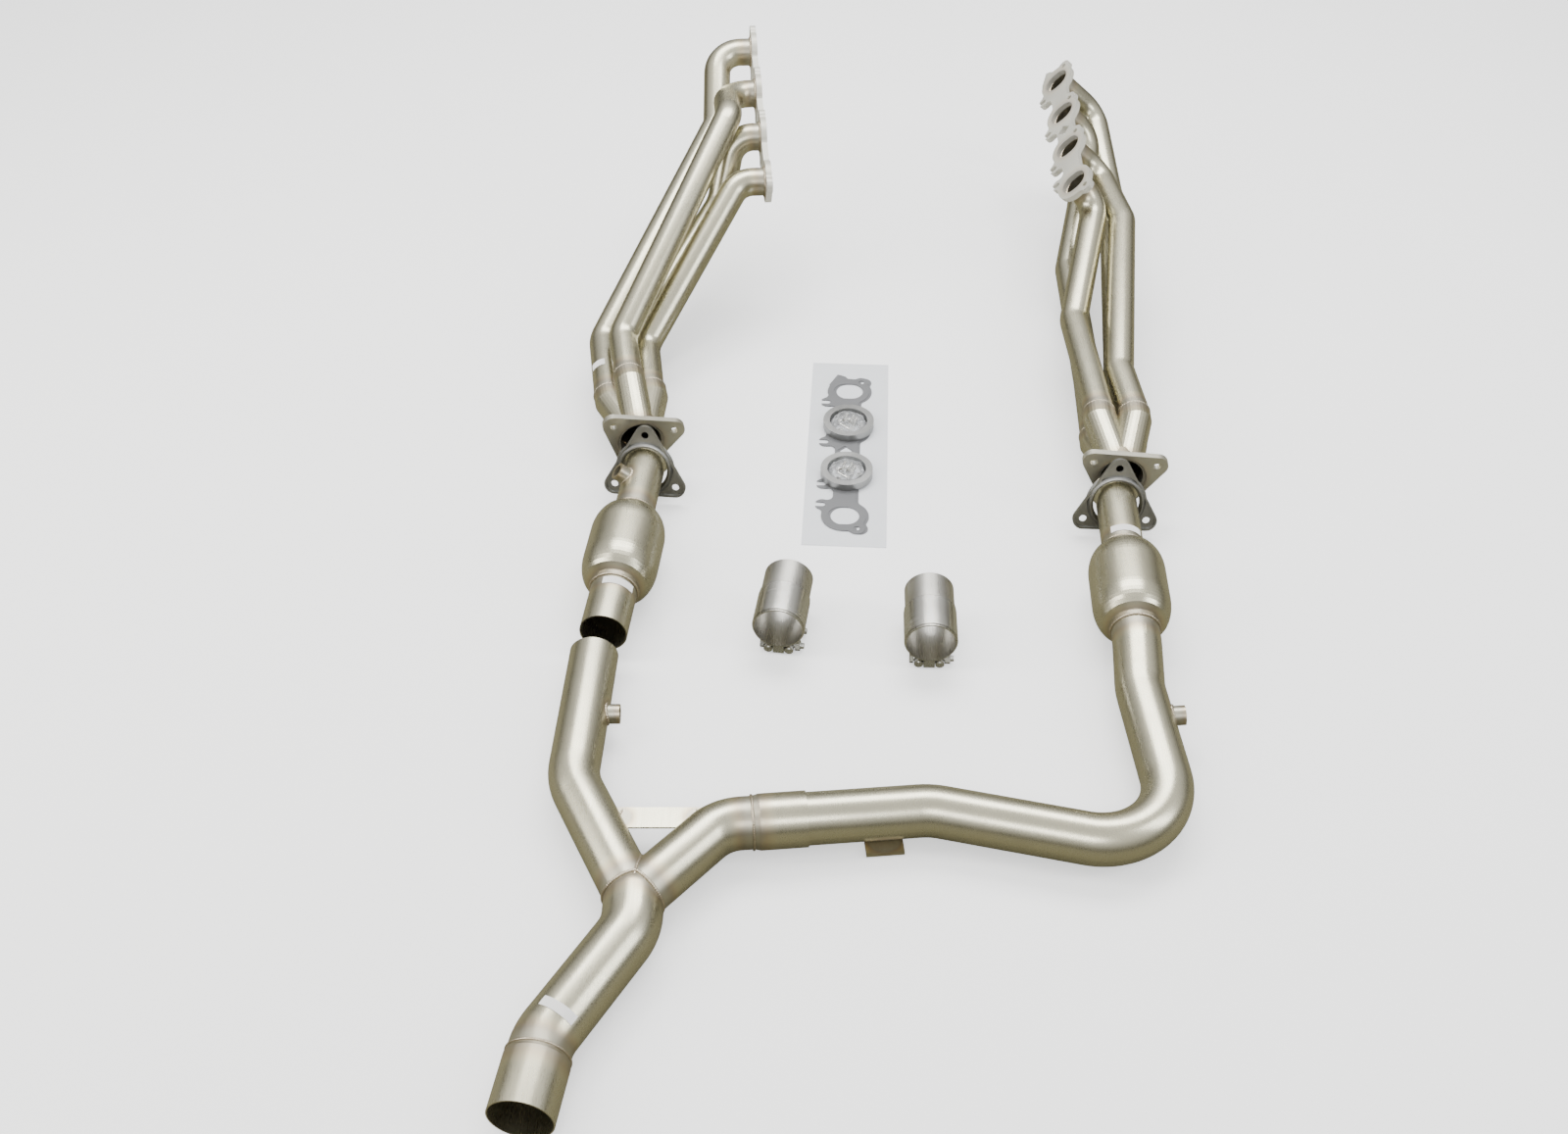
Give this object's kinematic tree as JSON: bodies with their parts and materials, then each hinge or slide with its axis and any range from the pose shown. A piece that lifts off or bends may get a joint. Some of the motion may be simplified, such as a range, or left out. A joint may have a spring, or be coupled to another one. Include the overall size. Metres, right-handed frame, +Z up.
{
  "type": "racing exhaust system",
  "caption": "Stainless V8 exhaust kit with long-tube headers, catalyst pipes, a Y-pipe with slip-in crossover, sleeve clamps and gaskets.",
  "frame": {"origin": "centre of the laid-out kit's footprint, on the floor", "axes": "+X to the right-hand header, +Y to the engine end, +Z up"},
  "size_m": [0.8987, 1.9284, 0.343],
  "materials": {
    "tube_steel": "satin, brushed along the tube, faint straw heat tint",
    "flange_steel": "laser-cut and flat sanded",
    "pressed_steel": "pressed sheet, dull grey",
    "band_steel": "bright rolled strip",
    "bright_steel": "bright turned steel",
    "fitting_steel": "turned and welded on",
    "honeycomb": "fine square cells",
    "mat": "fibre mat",
    "board": "white coated board",
    "gasket_sheet": "matt grey coating",
    "ring_metal": "smooth pressed ring",
    "clear_film": "clear film"
  },
  "bodies": {
    "y_pipe": {"y_left_leg": "tube_steel", "y_right_leg": "tube_steel", "y_stem": "tube_steel", "y_outlet_cuff": "tube_steel", "y_brace": "tube_steel", "y_bung": "fitting_steel"},
    "left_pipe": {"inlet_l": "tube_steel", "cat_shell_l": "tube_steel", "cat_mat_l": "mat", "cat_core_l": "honeycomb", "outlet_l": "tube_steel", "inlet_bung_l": "fitting_steel"},
    "right_pipe": {"inlet_r": "tube_steel", "cat_shell_r": "tube_steel", "cat_mat_r": "mat", "cat_core_r": "honeycomb", "crossover": "tube_steel", "hanger": "fitting_steel", "bung_r": "fitting_steel"},
    "swivel_l": {"swivel_l": "pressed_steel"},
    "swivel_r": {"swivel_r": "pressed_steel"},
    "header_l": {"head_flange_l": "flange_steel", "primary_l1": "tube_steel", "primary_l2": "tube_steel", "primary_l3": "tube_steel", "primary_l4": "tube_steel", "collector_l": "tube_steel", "plate_l": "flange_steel"},
    "header_r": {"head_flange_r": "flange_steel", "primary_r1": "tube_steel", "primary_r2": "tube_steel", "primary_r3": "tube_steel", "primary_r4": "tube_steel", "collector_r": "tube_steel", "plate_r": "flange_steel"},
    "clamp_1": {"sleeve_1": "pressed_steel", "band_1": "band_steel", "block_1": "bright_steel", "bars_1": "bright_steel", "bolts_1": "bright_steel"},
    "nut_1a": {"nut_1a": "bright_steel"},
    "nut_1b": {"nut_1b": "bright_steel"},
    "clamp_2": {"sleeve_2": "pressed_steel", "band_2": "band_steel", "block_2": "bright_steel", "bars_2": "bright_steel", "bolts_2": "bright_steel"},
    "nut_2a": {"nut_2a": "bright_steel"},
    "nut_2b": {"nut_2b": "bright_steel"},
    "card": {"card": "board"},
    "head_gasket_a": {"head_gasket_a": "gasket_sheet"},
    "head_gasket_b": {"head_gasket_b": "gasket_sheet"},
    "ring_gasket_a": {"ring_gasket_a": "ring_metal"},
    "ring_gasket_b": {"ring_gasket_b": "ring_metal"},
    "bag_a": {"bag_a": "clear_film", "fasteners_a": "bright_steel"},
    "bag_b": {"bag_b": "clear_film", "fasteners_b": "bright_steel"}
  },
  "joints": [
    {"name": "left_pipe_pull", "type": "slide", "parent": "y_pipe", "child": "left_pipe", "axis": [0.1011, 0.9949, 0], "range_m": [-0.008, 0.06]},
    {"name": "crossover_slip", "type": "slide", "parent": "y_pipe", "child": "right_pipe", "axis": [0.9962, 0.0872, 0], "range_m": [-0.007, 0.04]},
    {"name": "swivel_l_turn", "type": "hinge", "parent": "left_pipe", "child": "swivel_l", "pos_m": [-0.34561, 0.06207, 0.05081], "axis": [0.0961, 0.9462, -0.309], "range_deg": [-120, 120]},
    {"name": "swivel_r_turn", "type": "hinge", "parent": "right_pipe", "child": "swivel_r", "pos_m": [0.33089, -0.01322, 0.05081], "axis": [0.0465, 0.9499, -0.309], "range_deg": [-120, 120]},
    {"name": "header_l_draw", "type": "slide", "parent": "left_pipe", "child": "header_l", "axis": [-0.2, 0.9798, 0], "range_m": [0, 0.12]},
    {"name": "header_r_draw", "type": "slide", "parent": "right_pipe", "child": "header_r", "axis": [0.054, 0.9985, 0], "range_m": [0, 0.12]},
    {"name": "clamp_1_lift", "type": "slide", "parent": "y_pipe", "child": "clamp_1", "axis": [0, 0, 1], "range_m": [0, 0.12]},
    {"name": "nut_1a_spin", "type": "hinge", "parent": "clamp_1", "child": "nut_1a", "pos_m": [-0.12036, -0.2291, 0.00755], "axis": [0.989, -0.1478, 0], "continuous": true},
    {"name": "nut_1b_spin", "type": "hinge", "parent": "clamp_1", "child": "nut_1b", "pos_m": [-0.1245, -0.25679, 0.00755], "axis": [0.989, -0.1478, 0], "continuous": true},
    {"name": "clamp_2_lift", "type": "slide", "parent": "y_pipe", "child": "clamp_2", "axis": [0, 0, 1], "range_m": [0, 0.12]},
    {"name": "nut_2a_spin", "type": "hinge", "parent": "clamp_2", "child": "nut_2a", "pos_m": [0.07504, -0.25288, 0.00755], "axis": [0.9994, -0.0349, 0], "continuous": true},
    {"name": "nut_2b_spin", "type": "hinge", "parent": "clamp_2", "child": "nut_2b", "pos_m": [0.07406, -0.28087, 0.00755], "axis": [0.9994, -0.0349, 0], "continuous": true},
    {"name": "card_lift", "type": "slide", "parent": "y_pipe", "child": "card", "axis": [0, 0, 1], "range_m": [0, 0.12]},
    {"name": "head_gasket_a_lift", "type": "slide", "parent": "card", "child": "head_gasket_a", "axis": [0, 0, 1], "range_m": [0, 0.06]},
    {"name": "head_gasket_b_lift", "type": "slide", "parent": "head_gasket_a", "child": "head_gasket_b", "axis": [0, 0, 1], "range_m": [0, 0.06]},
    {"name": "ring_a_lift", "type": "slide", "parent": "head_gasket_b", "child": "ring_gasket_a", "axis": [0, 0, 1], "range_m": [0, 0.06]},
    {"name": "bag_a_lift", "type": "slide", "parent": "ring_gasket_a", "child": "bag_a", "axis": [0, 0, 1], "range_m": [0, 0.06]},
    {"name": "ring_b_lift", "type": "slide", "parent": "head_gasket_b", "child": "ring_gasket_b", "axis": [0, 0, 1], "range_m": [0, 0.06]},
    {"name": "bag_b_lift", "type": "slide", "parent": "ring_gasket_b", "child": "bag_b", "axis": [0, 0, 1], "range_m": [0, 0.06]}
  ]
}
